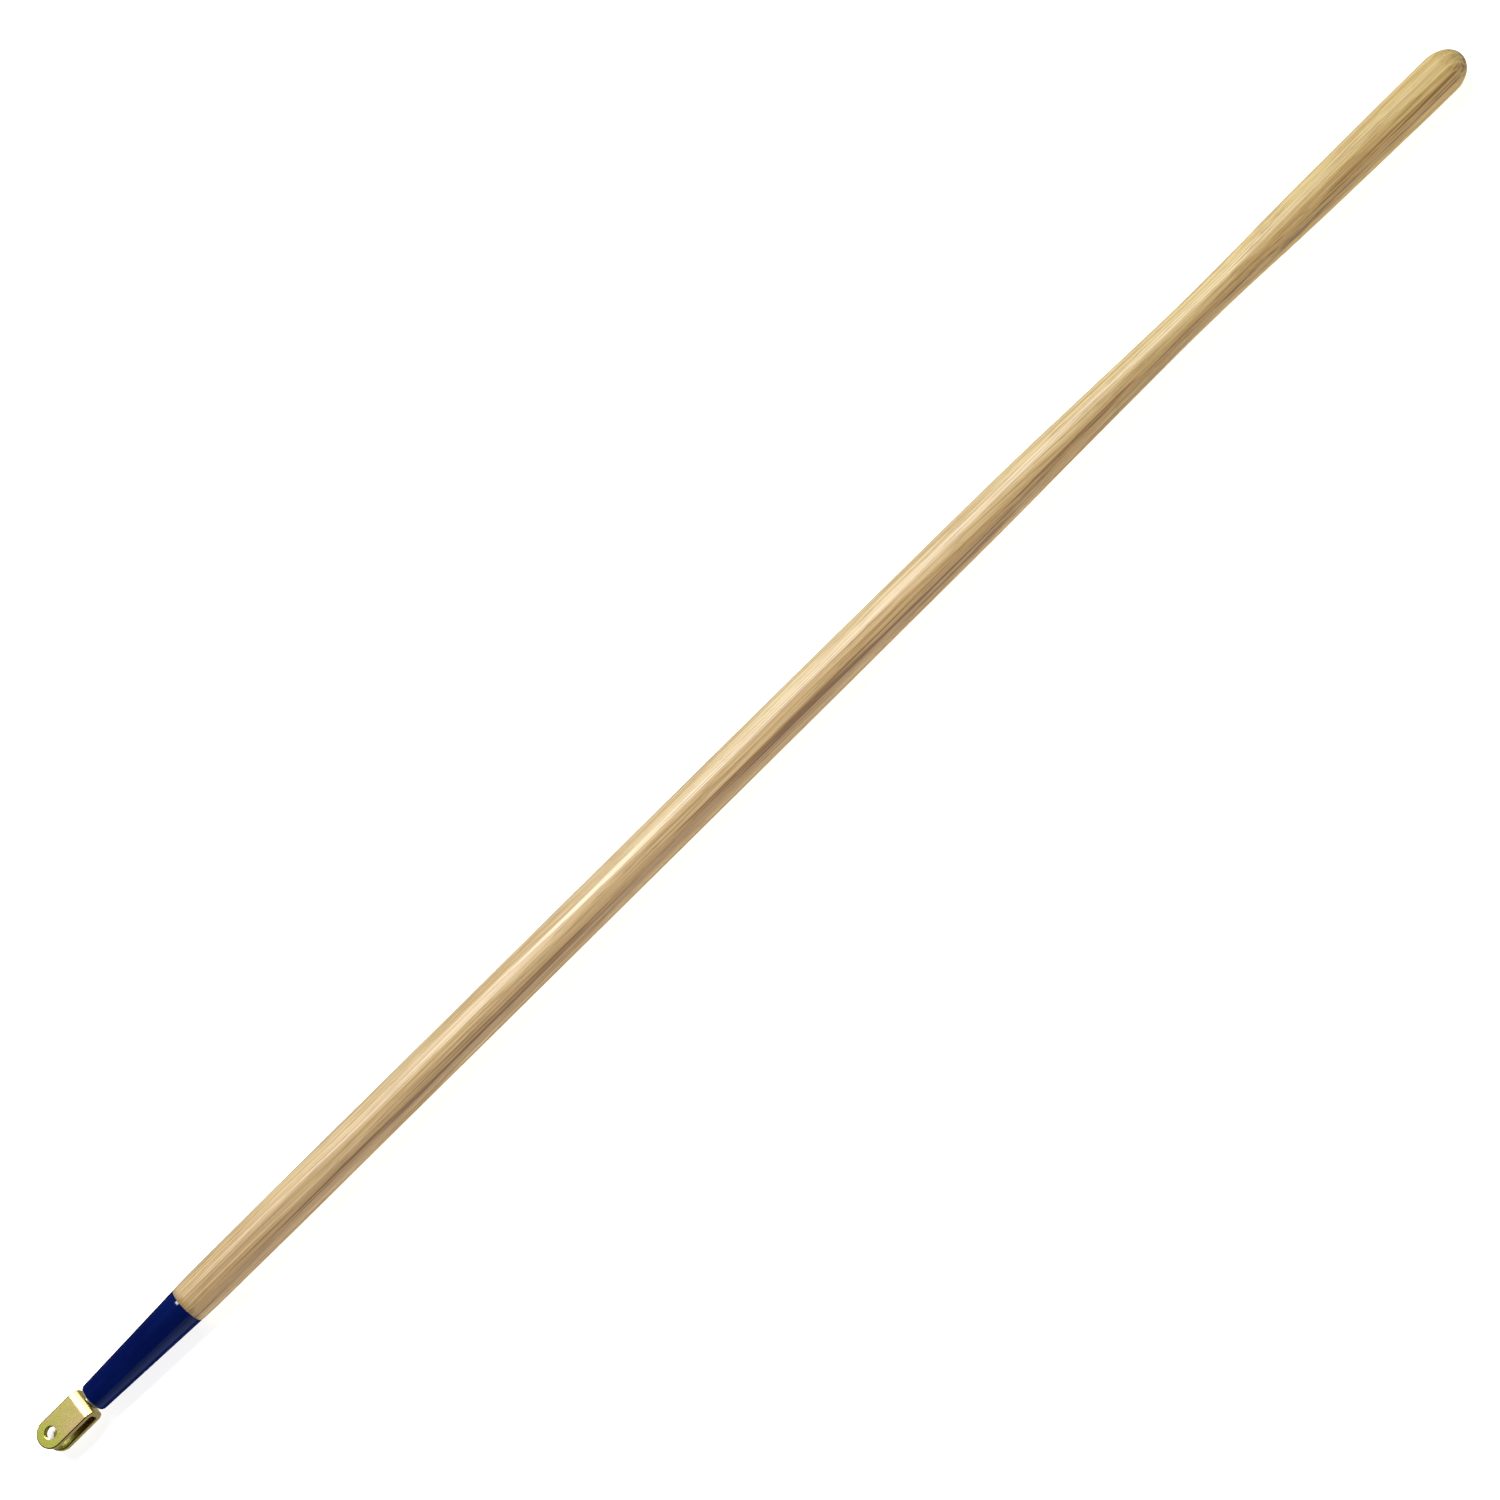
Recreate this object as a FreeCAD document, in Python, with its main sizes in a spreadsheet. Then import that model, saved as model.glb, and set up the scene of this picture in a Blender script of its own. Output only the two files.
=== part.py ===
"""Wooden mop handle with a dipped tip and a swivelling steel clevis, in millimetres.

The handle lies along +X, from the clevis at the origin to the domed grip, with +Z up.
The origin is the centre of the clevis's cross bore, where a mop head is pinned.
"""

import FreeCAD
import Part
import PartDesign
import Sketcher

import math
import os

# Driving dimensions: alias, value in millimetres (or a plain ratio), and what it is.
SIZES = [
    ("tip_diameter", 21.5, "wood at the end face, under the coat, before its corner"),
    ("tip_corner", 3.4, "rounding of the wood's tip"),
    ("neck_diameter", 29.0, "wood under the coat's upper edge"),
    ("dip_length", 96.0, "end face to the coat's upper edge: about 3 3/4 in"),
    ("coat_thickness", 0.4, "dipped enamel"),
    ("coat_lip", 0.3, "rounding of the coat's upper edge"),
    ("crook_from", 960.0, "where the grip end starts to drift off the axis"),
    ("crook_slope", 0.0092, "drift towards -Y for each millimetre past there"),
    ("dome_depth", 21.0, "half ellipse that closes the grip, which makes 54 in of wood"),
    ("shank_hole", 6.4, "clearance hole for the screw's smooth shank"),
    ("shank_hole_depth", 12.0, "from the wood's end face"),
    ("pilot_hole", 4.8, "bore that the screw's thread bites into"),
    ("pilot_depth", 52.0, "from the wood's end face"),
    ("strap_thickness", 4.7625, "3/16 in steel strap"),
    ("strap_width", 22.225, "7/8 in"),
    ("fork_width", 19.05, "outside of one leg to outside of the other: 3/4 in"),
    ("fork_length", 44.8, "leg's tip to the outer face of the bridge"),
    ("bore_diameter", 9.525, "cross bore through both legs: 3/8 in"),
    ("bore_to_tip", 11.5, "bore's centre to the legs' tips"),
    ("bend_radius", 6.8, "outside of the two bends"),
    ("edge_break", 1.0, "rounding of the strap's tumbled edges"),
    ("bridge_hole", 6.5, "running clearance round the screw's shank"),
    ("end_play", 0.1, "axial gap on each side of the bridge"),
    ("washer_diameter", 12.7, "thrust washer: 1/2 in"),
    ("washer_hole", 6.7, "slips over the shank"),
    ("washer_thickness", 1.5, "about 1/16 in"),
    ("shank_diameter", 6.35, "1/4 in wood screw"),
    ("shank_length", 18.5, "smooth part, from the head's seat"),
    ("screw_length", 58.0, "from the head's seat to the point"),
    ("root_diameter", 4.7, "between the turns of the thread"),
    ("point_length", 5.0, "cone at the screw's end"),
    ("thread_pitch", 2.54, "10 threads per inch"),
    ("thread_turns", 13, "turns between shank and point"),
    ("head_diameter", 8.2, "pan head, clear of both legs"),
    ("head_height", 3.2, "above its seat"),
    ("head_relief", 0.8, "bevel that clears the strap's inner bends"),
    ("head_rounding", 1.4, "rim of the head"),
    ("drive_width", 1.2, "screwdriver slot"),
    ("drive_depth", 1.5, "screwdriver slot"),
]

# The turned outline of the shaft and grip: distance from the tip's end face, diameter.
TURNINGS = [
    (96.0, 30.1), (104.0, 30.7), (118.0, 31.2), (165.0, 31.6), (310.0, 31.9),
    (480.0, 32.0), (666.0, 31.9), (780.0, 31.5), (880.0, 31.0), (930.0, 30.1),
    (980.0, 28.4), (1045.0, 26.1), (1108.0, 24.75), (1150.0, 25.9), (1195.0, 28.4),
    (1250.0, 30.2), (1310.0, 31.5), (1350.6, 31.7),
]

# Places along the handle, from the cross bore, as expressions of the sheet.
BRIDGE_OUTSIDE = "(sizes.fork_length - sizes.bore_to_tip)"
BRIDGE_INSIDE = "(sizes.fork_length - sizes.bore_to_tip - sizes.strap_thickness)"
TIP_RADIUS = "sizes.tip_diameter / 2"
NECK_RADIUS = "sizes.neck_diameter / 2"
HALF_GAP = "(sizes.fork_width / 2 - sizes.strap_thickness)"
WOOD_END = ("sizes.fork_length - sizes.bore_to_tip + sizes.end_play"
            " + sizes.washer_thickness + sizes.coat_thickness")

ORIGIN_POINT = (-1, 1)
AXIS_ACROSS = -1
AXIS_UP = -2


def make_sheet(doc):
    """One row per driving dimension, each cell read everywhere by its alias."""
    sheet = doc.addObject("Spreadsheet::Sheet", "sizes")
    rows = list(SIZES)
    for number, (at, diameter) in enumerate(TURNINGS):
        rows.append((f"ring_{number}_at", at, "turned outline: distance from the tip"))
        rows.append((f"ring_{number}_diameter", diameter, "turned outline: diameter"))
    for line, (alias, value, note) in enumerate(rows, start=1):
        sheet.set(f"A{line}", alias)
        sheet.set(f"B{line}", str(value))
        sheet.set(f"C{line}", note)
        sheet.setAlias(f"B{line}", alias)
    doc.recompute()
    return sheet


def origin_plane(body, role):
    """The body's own origin plane or axis, by its role."""
    return next(item for item in body.Origin.OriginFeatures if item.Role == role)


def new_body(doc, label):
    body = doc.addObject("PartDesign::Body", label)
    body.Label = label
    return body


def new_sketch(body, name, role):
    sketch = body.newObject("Sketcher::SketchObject", name)
    sketch.AttachmentSupport = [(origin_plane(body, role), "")]
    sketch.MapMode = "FlatFace"
    return sketch


def new_feature(body, kind, name, **properties):
    feature = body.newObject(f"PartDesign::{kind}", name)
    for key, value in properties.items():
        setattr(feature, key, value)
    return feature


def revolve(body, kind, sketch, name):
    """A full turn about the sketch's own horizontal axis, which is the handle's axis."""
    return new_feature(body, kind, name, Profile=sketch, ReferenceAxis=(sketch, ["H_Axis"]), Angle=360.0)


def pin_point(sketch, edge, end, across, up):
    """Holds one end of an edge at a place given by two expressions."""
    for kind, axis, text in (("DistanceX", AXIS_UP, across), ("DistanceY", AXIS_ACROSS, up)):
        value = sketch.evalExpression(text)
        if abs(value) < 1e-9:
            sketch.addConstraint(Sketcher.Constraint("PointOnObject", edge, end, axis))
            continue
        places = (*ORIGIN_POINT, edge, end) if value > 0 else (edge, end, *ORIGIN_POINT)
        number = sketch.addConstraint(Sketcher.Constraint(kind, *places, abs(value)))
        sketch.setExpression(f"Constraints[{number}]", text if value > 0 else f"-({text})")


def draw_outline(sketch, corners):
    """A closed outline of straight edges between corners given as pairs of expressions."""
    places = [FreeCAD.Vector(sketch.evalExpression(across), sketch.evalExpression(up), 0)
              for across, up in corners]
    count = len(places)
    for number in range(count):
        sketch.addGeometry(Part.LineSegment(places[number], places[(number + 1) % count]))
    for number in range(count):
        sketch.addConstraint(Sketcher.Constraint("Coincident", number, 2, (number + 1) % count, 1))
    for number, (across, up) in enumerate(corners):
        pin_point(sketch, number, 1, across, up)


def draw_circle(sketch, diameter):
    """A circle about the sketch's origin, of a diameter given as an expression."""
    radius = sketch.evalExpression(diameter) / 2
    edge = sketch.addGeometry(Part.Circle(FreeCAD.Vector(0, 0, 0), FreeCAD.Vector(0, 0, 1), radius))
    sketch.addConstraint(Sketcher.Constraint("Coincident", edge, 3, *ORIGIN_POINT))
    number = sketch.addConstraint(Sketcher.Constraint("Diameter", edge, 2 * radius))
    sketch.setExpression(f"Constraints[{number}]", diameter)


def pick_edges(shape, wanted):
    """The names of a shape's edges that a test accepts."""
    return [f"Edge{number}" for number, edge in enumerate(shape.Edges, start=1) if wanted(edge)]


def round_edges(doc, body, base, name, wanted, radius):
    """A fillet on the edges that a test accepts, with its radius as an expression."""
    doc.recompute()
    names = pick_edges(base.Shape, wanted)
    fillet = new_feature(body, "Fillet", name, Base=(base, names))
    fillet.setExpression("Radius", radius)
    return fillet


def ring_edge(at, diameter):
    """A test for the full circle of one diameter about the X axis at one place on it."""
    def wanted(edge):
        centre = edge.BoundBox.Center
        return (abs(edge.BoundBox.XLength) < 1e-4 and abs(centre.x - at) < 1e-3
                and abs(edge.BoundBox.ZLength - diameter) < 1e-2)
    return wanted


def hole_along_handle(body, name, diameter, start, depth):
    """A round pocket about the handle's axis, from a place on it towards +X."""
    sketch = new_sketch(body, f"{name}_outline", "YZ_Plane")
    sketch.setExpression("AttachmentOffset.Base.z", start)
    draw_circle(sketch, diameter)
    pocket = new_feature(body, "Pocket", name, Profile=sketch, Type="Length", Reversed=True)
    pocket.setExpression("Length", depth)
    return pocket


def cone_outline(sketch, start, tip, neck, corner):
    """Half of a straight taper about the handle's axis, with a rounded end.

    start is where the end face lies, tip the radius there before rounding, neck the radius
    at the coat's upper edge and corner the rounding's radius, all as expressions.
    """
    end = "sizes.dip_length"
    slope = f"atan((({neck}) - ({tip})) / ({end} - ({start})))"
    low, high = sketch.evalExpression(start), sketch.evalExpression(end)
    bend, radius = sketch.evalExpression(corner), sketch.evalExpression(tip)
    lean = math.radians(sketch.evalExpression(slope).Value)
    centre = FreeCAD.Vector(low + bend, radius + bend * math.tan(lean) - bend / math.cos(lean), 0)
    shoulder = centre + FreeCAD.Vector(-bend * math.sin(lean), bend * math.cos(lean), 0)
    face_rim = FreeCAD.Vector(low, centre.y, 0)
    neck_rim = FreeCAD.Vector(high, sketch.evalExpression(neck), 0)
    face_middle, neck_middle = FreeCAD.Vector(low, 0, 0), FreeCAD.Vector(high, 0, 0)

    face = sketch.addGeometry(Part.LineSegment(face_middle, face_rim))
    circle = Part.Circle(centre, FreeCAD.Vector(0, 0, 1), bend)
    arc = sketch.addGeometry(Part.ArcOfCircle(circle, math.pi / 2 + lean, math.pi))
    taper = sketch.addGeometry(Part.LineSegment(shoulder, neck_rim))
    back = sketch.addGeometry(Part.LineSegment(neck_rim, neck_middle))
    base = sketch.addGeometry(Part.LineSegment(neck_middle, face_middle))
    for places in ((taper, 2, back, 1), (back, 2, base, 1), (base, 2, face, 1)):
        sketch.addConstraint(Sketcher.Constraint("Coincident", *places))
    sketch.addConstraint(Sketcher.Constraint("Tangent", face, 2, arc, 2))
    sketch.addConstraint(Sketcher.Constraint("Tangent", arc, 1, taper, 1))
    sketch.addConstraint(Sketcher.Constraint("Vertical", face))
    number = sketch.addConstraint(Sketcher.Constraint("Radius", arc, bend))
    sketch.setExpression(f"Constraints[{number}]", corner)
    number = sketch.addConstraint(Sketcher.Constraint("Angle", taper, lean))
    sketch.setExpression(f"Constraints[{number}]", slope)
    pin_point(sketch, face, 1, start, "0")
    pin_point(sketch, back, 1, end, neck)
    pin_point(sketch, back, 2, end, "0")


def make_handle(doc):
    """The wooden handle: turned tip, swelled shaft, waisted grip and domed end."""
    body = new_body(doc, "handle_shaft")
    sections = []
    for number in range(len(TURNINGS)):
        sketch = new_sketch(body, f"ring_{number}", "YZ_Plane")
        at = f"sizes.ring_{number}_at"
        sketch.setExpression("AttachmentOffset.Base.z", at)
        sketch.setExpression("AttachmentOffset.Base.x",
                             f"-sizes.crook_slope * max({at} - sizes.crook_from; 0)")
        draw_circle(sketch, f"sizes.ring_{number}_diameter")
        sections.append(sketch)
    new_feature(body, "AdditiveLoft", "turned_shaft", Profile=sections[0], Sections=sections[1:],
                Ruled=False, Closed=False)

    taper = new_sketch(body, "tip_outline", "XZ_Plane")
    cone_outline(taper, "0", TIP_RADIUS, NECK_RADIUS, "sizes.tip_corner")
    revolve(body, "Revolution", taper, "turned_tip")
    make_dome(body)
    hole_along_handle(body, "shank_bore", "sizes.shank_hole", "0", "sizes.shank_hole_depth")
    hole_along_handle(body, "pilot_bore", "sizes.pilot_hole", "0", "sizes.pilot_depth")
    body.setExpression("Placement.Base.x", WOOD_END)
    return body


def make_dome(body):
    """The grip's end: a quarter ellipse turned about the drifted axis of the last ring."""
    last = len(TURNINGS) - 1
    at = f"sizes.ring_{last}_at"
    sketch = new_sketch(body, "dome_outline", "XZ_Plane")
    sketch.setExpression("AttachmentOffset.Base.x", at)
    sketch.setExpression("AttachmentOffset.Base.z",
                         f"sizes.crook_slope * ({at} - sizes.crook_from)")
    radius = f"sizes.ring_{last}_diameter / 2"
    depth = sketch.evalExpression("sizes.dome_depth")
    height = sketch.evalExpression(radius)
    ellipse = Part.Ellipse(FreeCAD.Vector(depth, 0, 0), FreeCAD.Vector(0, height, 0),
                           FreeCAD.Vector(0, 0, 0))
    curve = sketch.addGeometry(Part.ArcOfEllipse(ellipse, 0, math.pi / 2))
    middle = FreeCAD.Vector(0, 0, 0)
    stem = sketch.addGeometry(Part.LineSegment(FreeCAD.Vector(0, height, 0), middle))
    base = sketch.addGeometry(Part.LineSegment(middle, FreeCAD.Vector(depth, 0, 0)))
    for places in ((curve, 2, stem, 1), (stem, 2, base, 1), (base, 2, curve, 1),
                   (curve, 3, *ORIGIN_POINT)):
        sketch.addConstraint(Sketcher.Constraint("Coincident", *places))
    pin_point(sketch, stem, 1, "0", radius)
    pin_point(sketch, base, 2, "sizes.dome_depth", "0")
    return revolve(body, "Revolution", sketch, "grip_dome")


def make_coating(doc, sizes):
    """The dipped enamel: a thin tapered cup over the tip, open at its upper edge."""
    body = new_body(doc, "tip_coating")
    outside = new_sketch(body, "coat_outline", "XZ_Plane")
    thickness = "sizes.coat_thickness"
    cone_outline(outside, f"-{thickness}", f"{TIP_RADIUS} + {thickness}",
                 f"{NECK_RADIUS} + {thickness}", f"sizes.tip_corner + {thickness}")
    solid = revolve(body, "Revolution", outside, "coat_solid")
    full_neck = sizes.neck_diameter + 2 * sizes.coat_thickness
    round_edges(doc, body, solid, "coat_edge", ring_edge(sizes.dip_length, full_neck),
                "sizes.coat_lip")
    inside = new_sketch(body, "inner_outline", "XZ_Plane")
    cone_outline(inside, "0", TIP_RADIUS, NECK_RADIUS, "sizes.tip_corner")
    revolve(body, "Groove", inside, "hollow")
    hole_along_handle(body, "shank_opening", "sizes.shank_hole", "-2 * sizes.coat_thickness",
                      "3 * sizes.coat_thickness")
    body.setExpression("Placement.Base.x", WOOD_END)
    return body


def make_clevis(doc, sizes):
    """A steel strap bent to a U: two round-ended legs, cross-bored, and a bridge for the screw."""
    body = new_body(doc, "clevis")
    legs = new_sketch(body, "leg_outline", "XY_Plane")
    draw_outline(legs, [
        ("-sizes.bore_to_tip", "-sizes.strap_width / 2"),
        (BRIDGE_OUTSIDE, "-sizes.strap_width / 2"),
        (BRIDGE_OUTSIDE, "sizes.strap_width / 2"),
        ("-sizes.bore_to_tip", "sizes.strap_width / 2"),
    ])
    block = new_feature(body, "Pad", "strap_block", Profile=legs, Midplane=True)
    block.setExpression("Length", "sizes.fork_width")

    gap = new_sketch(body, "gap_outline", "XZ_Plane")
    draw_outline(gap, [
        ("-2 * sizes.bore_to_tip", f"-{HALF_GAP}"),
        (BRIDGE_INSIDE, f"-{HALF_GAP}"),
        (BRIDGE_INSIDE, HALF_GAP),
        ("-2 * sizes.bore_to_tip", HALF_GAP),
    ])
    slot = new_feature(body, "Pocket", "fork_slot", Profile=gap, Type="ThroughAll", Midplane=True)

    tip = -sizes.bore_to_tip
    ends = round_edges(doc, body, slot, "leg_ends", upright_edge(tip), "sizes.strap_width / 2 - 0.01")
    outside = sizes.fork_length - sizes.bore_to_tip
    bends = round_edges(doc, body, ends, "outer_bends",
                        cross_edge(outside, sizes.fork_width / 2), "sizes.bend_radius")
    round_edges(doc, body, bends, "inner_bends",
                cross_edge(outside - sizes.strap_thickness,
                           sizes.fork_width / 2 - sizes.strap_thickness),
                "sizes.bend_radius - sizes.strap_thickness")

    bore = new_sketch(body, "bore_outline", "XY_Plane")
    draw_circle(bore, "sizes.bore_diameter")
    new_feature(body, "Pocket", "cross_bore", Profile=bore, Type="ThroughAll", Midplane=True)
    bridge = new_sketch(body, "bridge_outline", "YZ_Plane")
    bridge.setExpression("AttachmentOffset.Base.z", f"{BRIDGE_INSIDE} - sizes.strap_thickness / 2")
    draw_circle(bridge, "sizes.bridge_hole")
    hole = new_feature(body, "Pocket", "screw_hole", Profile=bridge, Type="Length", Reversed=True)
    hole.setExpression("Length", "2 * sizes.strap_thickness")
    half_width = sizes.strap_width / 2
    round_edges(doc, body, hole, "tumbled_edges", side_edge(half_width), "sizes.edge_break")
    return body


def upright_edge(at):
    """A test for a straight edge along Z at one place along the handle."""
    def wanted(edge):
        box = edge.BoundBox
        return box.XLength < 1e-4 and box.YLength < 1e-4 and abs(box.Center.x - at) < 1e-3
    return wanted


def cross_edge(at, height):
    """A test for a straight edge along Y at one place along the handle, above and below."""
    def wanted(edge):
        box = edge.BoundBox
        return (box.XLength < 1e-4 and box.ZLength < 1e-4 and abs(box.Center.x - at) < 1e-3
                and abs(abs(box.Center.z) - height) < 1e-3)
    return wanted


def side_edge(half_width):
    """A test for the strap's long edges, which lie in its two side planes."""
    def wanted(edge):
        box = edge.BoundBox
        return box.YLength < 1e-4 and abs(abs(box.Center.y) - half_width) < 1e-3
    return wanted


def make_washer(doc):
    """The plain thrust washer that the clevis turns against."""
    body = new_body(doc, "thrust_washer")
    sketch = new_sketch(body, "washer_outline", "XZ_Plane")
    inner, outer = "sizes.washer_hole / 2", "sizes.washer_diameter / 2"
    draw_outline(sketch, [("0", inner), ("sizes.washer_thickness", inner),
                          ("sizes.washer_thickness", outer), ("0", outer)])
    revolve(body, "Revolution", sketch, "ring")
    body.setExpression("Placement.Base.x", f"{BRIDGE_OUTSIDE} + sizes.end_play")
    return body


def make_screw(doc, sizes):
    """The pan-head wood screw that the clevis turns on, driven into the end grain."""
    body = new_body(doc, "swivel_screw")
    sketch = new_sketch(body, "screw_outline", "XZ_Plane")
    shank, root, rim = "sizes.shank_diameter / 2", "sizes.root_diameter / 2", "sizes.head_diameter / 2"
    cone = "sizes.screw_length - sizes.point_length"
    draw_outline(sketch, [
        ("-sizes.head_height", "0"), ("-sizes.head_height", rim), ("-sizes.head_relief", rim),
        ("0", f"{rim} - sizes.head_relief"), ("0", shank), ("sizes.shank_length", shank),
        ("sizes.shank_length", root), (cone, root), ("sizes.screw_length", "0"),
    ])
    blank = revolve(body, "Revolution", sketch, "screw_blank")
    round_edges(doc, body, blank, "head_rounding",
                ring_edge(-sizes.head_height, sizes.head_diameter), "sizes.head_rounding")
    ridge = new_sketch(body, "thread_outline", "XZ_Plane")
    start = "sizes.shank_length + sizes.thread_pitch"
    draw_outline(ridge, [
        (f"{start} - sizes.thread_pitch / 3", f"{root} - 0.05"),
        (start, shank),
        (f"{start} + sizes.thread_pitch / 3", f"{root} - 0.05"),
    ])
    turn = revolve(body, "Revolution", ridge, "thread_turn")
    doc.recompute()
    pattern = new_feature(body, "LinearPattern", "thread", Originals=[turn],
                          Direction=(origin_plane(body, "X_Axis"), [""]))
    pattern.setExpression("Length", "(sizes.thread_turns - 1) * sizes.thread_pitch")
    pattern.setExpression("Occurrences", "sizes.thread_turns")
    body.Tip = pattern
    drive = new_sketch(body, "drive_outline", "XY_Plane")
    draw_outline(drive, [
        ("-2 * sizes.head_height", "-sizes.drive_width / 2"),
        ("sizes.drive_depth - sizes.head_height", "-sizes.drive_width / 2"),
        ("sizes.drive_depth - sizes.head_height", "sizes.drive_width / 2"),
        ("-2 * sizes.head_height", "sizes.drive_width / 2"),
    ])
    new_feature(body, "Pocket", "drive_slot", Profile=drive, Type="ThroughAll", Midplane=True)
    body.setExpression("Placement.Base.x", f"{BRIDGE_INSIDE} - sizes.end_play")
    return body


def check(doc, bodies):
    """Stops on any failed feature or any sub-part without a sound solid."""
    for item in doc.Objects:
        if {"Invalid", "Error"} & set(item.State):
            raise RuntimeError(f"{item.Label} failed: {item.State}")
    for body in bodies:
        shape = body.Shape
        if shape.isNull() or not shape.isValid() or len(shape.Solids) != 1:
            raise RuntimeError(f"{body.Label} isn't one sound solid")
        box = shape.BoundBox
        print(f"{body.Label}: {shape.Volume:.1f} mm3, x {box.XMin:.2f} to {box.XMax:.2f}, "
              f"y {box.YMin:.2f} to {box.YMax:.2f}, z {box.ZMin:.2f} to {box.ZMax:.2f}")


def main():
    doc = FreeCAD.newDocument("mop_handle")
    sizes = make_sheet(doc)
    bodies = [
        make_handle(doc),
        make_coating(doc, sizes),
        make_clevis(doc, sizes),
        make_washer(doc),
        make_screw(doc, sizes),
    ]
    doc.recompute()
    check(doc, bodies)
    os.makedirs("parts", exist_ok=True)
    for body in bodies:
        body.Shape.exportStep(f"parts/{body.Label}.step")


main()
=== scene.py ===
"""Looks of the wooden mop handle: refined meshes, materials, floor, lights and camera.

The handle lies along +X with its clevis at the origin, on a pale floor, in metres.
"""

import math

import bmesh
import bpy
from mathutils import Matrix, Vector


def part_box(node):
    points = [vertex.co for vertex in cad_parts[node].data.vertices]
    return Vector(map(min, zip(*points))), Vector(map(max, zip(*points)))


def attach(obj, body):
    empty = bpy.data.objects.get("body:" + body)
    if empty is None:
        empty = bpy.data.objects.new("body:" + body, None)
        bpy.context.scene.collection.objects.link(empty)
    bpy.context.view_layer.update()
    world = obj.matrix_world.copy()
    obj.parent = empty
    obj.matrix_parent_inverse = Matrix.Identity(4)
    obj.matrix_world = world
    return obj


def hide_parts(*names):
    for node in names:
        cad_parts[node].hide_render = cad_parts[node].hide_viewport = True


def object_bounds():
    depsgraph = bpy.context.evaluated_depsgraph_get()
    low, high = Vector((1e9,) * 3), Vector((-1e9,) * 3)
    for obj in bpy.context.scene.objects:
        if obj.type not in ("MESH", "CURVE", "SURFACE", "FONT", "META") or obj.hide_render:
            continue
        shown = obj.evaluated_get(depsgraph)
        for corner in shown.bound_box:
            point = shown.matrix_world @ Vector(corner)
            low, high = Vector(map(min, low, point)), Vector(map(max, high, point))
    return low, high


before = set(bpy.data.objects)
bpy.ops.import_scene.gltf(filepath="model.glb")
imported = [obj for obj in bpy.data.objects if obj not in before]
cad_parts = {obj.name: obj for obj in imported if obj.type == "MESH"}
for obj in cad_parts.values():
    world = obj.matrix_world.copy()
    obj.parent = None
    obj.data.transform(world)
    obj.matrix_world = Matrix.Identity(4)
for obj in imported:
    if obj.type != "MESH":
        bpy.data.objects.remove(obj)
cad_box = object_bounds()
wood_low, wood_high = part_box("handle_shaft")
coat_low, coat_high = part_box("tip_coating")
clevis_low, clevis_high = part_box("clevis")
washer_low, washer_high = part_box("thrust_washer")

MM = 0.001

# Camera: over the middle of the handle, leaning towards -Y, turned so the grip points up right.
VIEW_LEAN = math.radians(24.0)
VIEW_TURN = math.radians(44.62)
VIEW_DISTANCE = 2.25
VIEW_WIDTH = 1.0724
SENSOR_WIDTH = 0.036

# The stage: a square floor and a round wall on it.
FLOOR_SIZE = 12.0
WALL_RADIUS = FLOOR_SIZE / 2 - 0.1
WALL_HEIGHT = 6.0
WALL_SIDES = 64

# The shaft, as the CAD model has it.
CROOK_FROM = 960.0 * MM
CROOK_SLOPE = 0.0092
DOME_DEPTH = 21.0 * MM
SHANK_BORE = 3.2 * MM
SHANK_BORE_DEPTH = 12.0 * MM
PILOT_BORE = 2.4 * MM
PILOT_DEPTH = 52.0 * MM

# How the turned pieces are read and made.
BORE_WALLS = 6.0 * MM  # vertices nearer the axis than this are in the bores
RING_GAP = 4.0 * MM  # vertices closer along the handle than this are one ring
MARGIN = 1.0 * MM  # rings this near the coat's edge belong to the edge
RING_STEP = 6.0 * MM
DOME_STEPS = 24
TAPER_STEPS = 24
AROUND = 128
SKIN = 0.06 * MM  # keeps the turned wood just inside the CAD model's facets
TIP_FLAT = 0.66  # share of the first ring's radius that is flat end grain

# The clevis's strap, as the CAD model has it, and its worn edges.
STRAP_THICKNESS = 4.7625 * MM
BEND_RADIUS = 6.8 * MM
BORE_RADIUS = 4.7625 * MM
BRIDGE_HOLE_RADIUS = 3.25 * MM
STRAP_EDGE = 1.0 * MM
HOLE_EDGE = 0.45 * MM
EDGE_STEPS = 10
RIM_STEPS = 6
ROUND_END_STEPS = 20
RUN_STEPS = 90
OVERSHOOT = 2.0 * MM  # how far the hole cutters stand out of the strap

# The enamel coat: a cup round the tip, with a beaded upper edge whose line wanders.
COAT_THICKNESS = 0.4 * MM
COAT_TIP_RADIUS = 11.15 * MM
COAT_CORNER = 3.8 * MM
CORNER_STEPS = 14
COAT_BEAD = 0.35 * MM
LIP_DEPTH = 0.6 * MM
EDGE_WANDER = 0.25 * MM
WANDER_REACH = 4.0 * MM

# The thrust washer.
WASHER_BORE = 3.35 * MM
WASHER_EDGE = 0.35 * MM


# ---------------------------------------------------------------- meshes

def new_piece(name, shape):
    """An object made of a finished bmesh, shown smooth."""
    data = bpy.data.meshes.new(name)
    bmesh.ops.recalc_face_normals(shape, faces=shape.faces)
    shape.to_mesh(data)
    shape.free()
    data.shade_smooth()
    piece = bpy.data.objects.new(name, data)
    bpy.context.scene.collection.objects.link(piece)
    return piece


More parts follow.
